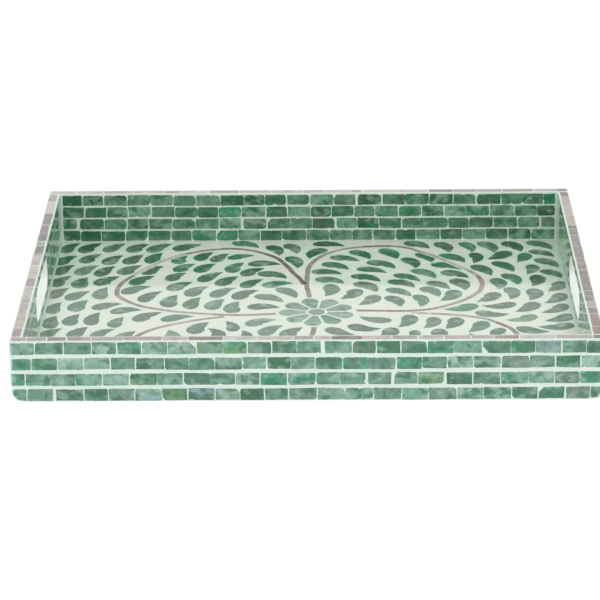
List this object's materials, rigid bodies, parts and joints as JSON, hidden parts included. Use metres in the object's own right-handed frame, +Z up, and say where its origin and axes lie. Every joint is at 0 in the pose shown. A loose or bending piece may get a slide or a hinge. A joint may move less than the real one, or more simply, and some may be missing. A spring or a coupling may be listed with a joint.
{
  "type": "rectangular serving tray",
  "caption": "Rectangular serving tray with upright walls and handle slots in the short ends, inlaid all over with green shell tiles and a floral scroll floor.",
  "frame": {"origin": "middle of the underside, on the surface the tray stands on", "axes": "+X along the long side, to the right seen from the front; +Y towards the back; +Z up"},
  "size_m": [0.4572, 0.3556, 0.0508],
  "materials": {
    "board": "medium-density fibreboard, sealed",
    "resin": "pale mint resin grout under clear gloss lacquer",
    "green_shell": "green-dyed mother-of-pearl under clear gloss lacquer",
    "rim_shell": "natural pinkish-brown shell under clear gloss lacquer",
    "scroll_shell": "taupe shell segments under clear gloss lacquer"
  },
  "bodies": {
    "root": {"back_inner_course_1": "green_shell", "back_inner_course_2": "green_shell", "back_inner_course_3": "green_shell", "back_inner_course_4": "green_shell", "back_left_scroll": "scroll_shell", "back_outer_course_1": "green_shell", "back_outer_course_2": "green_shell", "back_outer_course_3": "green_shell", "back_outer_course_4": "green_shell", "back_right_scroll": "scroll_shell", "back_rim_strip": "rim_shell", "back_wall_core": "board", "base_board": "board", "floor_resin_bed": "resin", "floor_rosette": "green_shell", "front_inner_course_1": "green_shell", "front_inner_course_2": "green_shell", "front_inner_course_3": "green_shell", "front_inner_course_4": "green_shell", "front_left_scroll": "scroll_shell", "front_outer_course_1": "green_shell", "front_outer_course_2": "green_shell", "front_outer_course_3": "green_shell", "front_outer_course_4": "green_shell", "front_right_scroll": "scroll_shell", "front_rim_strip": "rim_shell", "front_wall_core": "board", "inner_resin_coat": "resin", "left_handle_lining": "resin", "left_inner_course_1": "green_shell", "left_inner_course_2_back": "green_shell", "left_inner_course_2_front": "green_shell", "left_inner_course_3_back": "green_shell", "left_inner_course_3_front": "green_shell", "left_inner_course_4": "green_shell", "left_outer_course_1": "green_shell", "left_outer_course_2_back": "green_shell", "left_outer_course_2_front": "green_shell", "left_outer_course_3": "green_shell", "left_outer_course_4": "green_shell", "left_rim_strip": "rim_shell", "left_wall_core": "board", "outer_resin_coat": "resin", "right_handle_lining": "resin", "right_inner_course_1": "green_shell", "right_inner_course_2_back": "green_shell", "right_inner_course_2_front": "green_shell", "right_inner_course_3_back": "green_shell", "right_inner_course_3_front": "green_shell", "right_inner_course_4": "green_shell", "right_outer_course_1": "green_shell", "right_outer_course_2_back": "green_shell", "right_outer_course_2_front": "green_shell", "right_outer_course_3": "green_shell", "right_outer_course_4": "green_shell", "right_rim_strip": "rim_shell", "right_wall_core": "board"}
  },
  "joints": []
}
